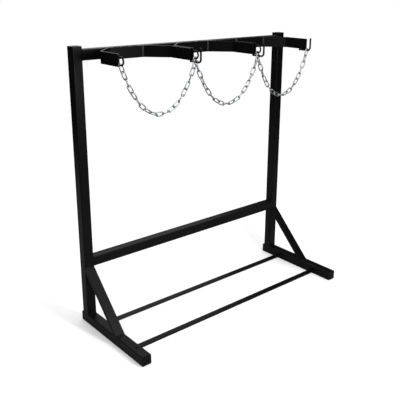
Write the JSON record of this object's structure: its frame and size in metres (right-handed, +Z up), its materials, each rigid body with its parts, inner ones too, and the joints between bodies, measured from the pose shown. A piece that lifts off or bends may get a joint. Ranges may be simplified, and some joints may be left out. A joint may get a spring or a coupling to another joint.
{
  "type": "gas cylinder stand",
  "caption": "Free-standing steel stand that holds gas cylinders upright side by side in bent-bar cradles, each closed by a hanging chain.",
  "frame": {"origin": "on the floor, under the middle of the stand's box", "axes": "+Z up from the floor, +Y towards the rails at the back, the open front faces -Y, X runs along the row of cradles"},
  "size_m": [1.038, 0.41, 1.053],
  "materials": {
    "powder_coat": "satin",
    "end_cap": "satin",
    "zinc": "satin"
  },
  "bodies": {
    "stand": {"left_upright": "powder_coat", "left_foot": "powder_coat", "left_brace": "powder_coat", "left_upright_cap": "end_cap", "left_foot_front_cap": "end_cap", "left_foot_rear_cap": "end_cap", "right_upright": "powder_coat", "right_foot": "powder_coat", "right_brace": "powder_coat", "right_upright_cap": "end_cap", "right_foot_front_cap": "end_cap", "right_foot_rear_cap": "end_cap", "top_rail": "powder_coat", "mid_rail": "powder_coat", "rear_floor_bar": "powder_coat", "front_floor_bar": "powder_coat", "left_cradle": "powder_coat", "left_chain_eye": "powder_coat", "left_chain_hook": "powder_coat", "middle_cradle": "powder_coat", "middle_chain_eye": "powder_coat", "middle_chain_hook": "powder_coat", "right_cradle": "powder_coat", "right_chain_eye": "powder_coat", "right_chain_hook": "powder_coat"},
    "left_chain_body": {"left_chain": "zinc"},
    "middle_chain_body": {"middle_chain": "zinc"},
    "right_chain_body": {"right_chain": "zinc"}
  },
  "joints": [
    {"name": "left_chain_swing", "type": "hinge", "parent": "stand", "child": "left_chain_body", "pos_m": [-0.30558, -0.04251, 1.00675], "axis": [0.9983, -0.0503, -0.03], "range_deg": [-20, 20]},
    {"name": "middle_chain_swing", "type": "hinge", "parent": "stand", "child": "middle_chain_body", "pos_m": [0.00202, -0.04251, 1.00675], "axis": [0.9983, -0.0503, -0.03], "range_deg": [-20, 20]},
    {"name": "right_chain_swing", "type": "hinge", "parent": "stand", "child": "right_chain_body", "pos_m": [0.30772, -0.03325, 1.00677], "axis": [0.9995, 0.0119, -0.0304], "range_deg": [-20, 20]}
  ]
}
